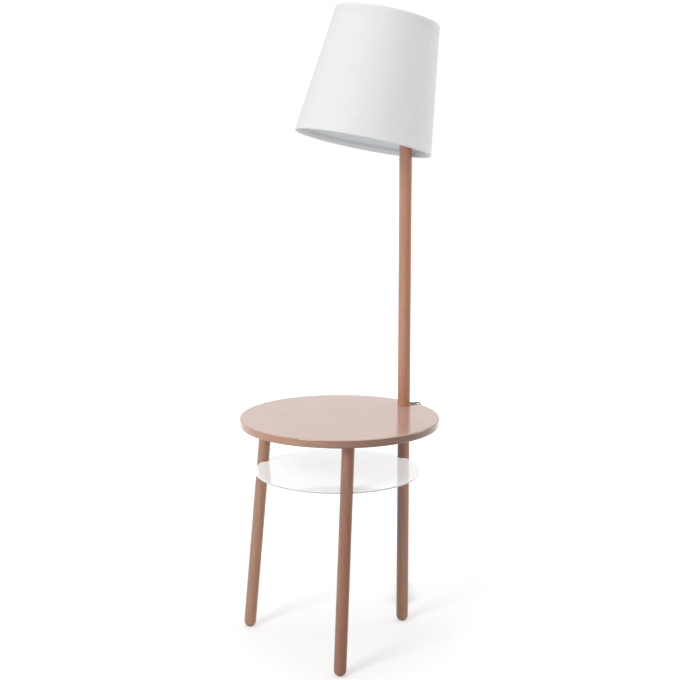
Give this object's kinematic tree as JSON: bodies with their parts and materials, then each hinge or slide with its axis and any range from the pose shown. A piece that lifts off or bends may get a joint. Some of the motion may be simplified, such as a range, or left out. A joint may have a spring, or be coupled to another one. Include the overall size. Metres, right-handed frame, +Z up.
{
  "type": "floor lamp with side table",
  "caption": "Floor lamp with a tilting drum shade on a mast that stands on a round side table with splayed legs and a thin lower shelf.",
  "frame": {"origin": "floor, under the middle of the bounding box without the free cord and its plug", "axes": "+Z up; +X from the table's centre towards the mast; +Y completes a right-handed frame"},
  "size_m": [0.5758, 0.45, 1.4363],
  "materials": {
    "table_lacquer": "satin lacquer over veneer",
    "lacquered_wood": "satin lacquered solid wood",
    "white_glass": "gloss white",
    "brass": "plain",
    "zinc_steel": "zinc plated",
    "bright_steel": "nickel plated",
    "cord_sheath": "soft satin",
    "black_plastic": "matt",
    "white_plastic": "moulded",
    "ceramic_core": "unglazed",
    "bulb_metal": "plain",
    "opal_glass": "opal",
    "white_wire": "powder coated",
    "shade_film": "matt film",
    "shade_cloth": "fine plain weave",
    "plug_rubber": "moulded"
  },
  "bodies": {
    "stand": {"table_top": "table_lacquer", "mast": "lacquered_wood", "mast_leg": "lacquered_wood", "front_leg": "lacquered_wood", "left_leg": "lacquered_wood", "shelf_disc": "white_glass", "threaded_inserts": "brass", "mast_stud": "zinc_steel", "leg_studs": "zinc_steel", "mast_ferrule": "bright_steel", "mast_lead": "cord_sheath", "cord_drop": "cord_sheath", "cord_hank": "cord_sheath", "cord_tie": "black_plastic", "cord_tail": "cord_sheath", "plug_body": "plug_rubber", "plug_pins": "brass"},
    "head": {"tilt_bracket": "bright_steel", "pivot_bolt": "zinc_steel", "pivot_nut": "zinc_steel", "friction_washers": "black_plastic", "holder_nipple": "brass", "nipple_nut": "brass", "cord_grip": "black_plastic", "lampholder_cap": "white_plastic", "lampholder_skirt": "white_plastic", "lampholder_core": "ceramic_core", "screw_shell": "brass", "shade_ring_nut": "white_plastic", "bulb_base": "bulb_metal", "bulb_globe": "opal_glass", "shade_fitter": "white_wire", "shade_bottom_ring": "white_wire", "shade_film": "shade_film", "shade_fabric": "shade_cloth", "head_lead": "cord_sheath"},
    "key": {"switch_key": "black_plastic"}
  },
  "joints": [
    {"name": "shade_tilt", "type": "hinge", "parent": "stand", "child": "head", "pos_m": [0.1749, 0, 1.3645], "axis": [0, 1, 0], "range_deg": [-15, 1.5], "deforming": ["head_lead"]},
    {"name": "switch_turn", "type": "hinge", "parent": "head", "child": "key", "pos_m": [0.11063, 0.03, 1.36484], "axis": [0, 1, 0], "continuous": true}
  ]
}
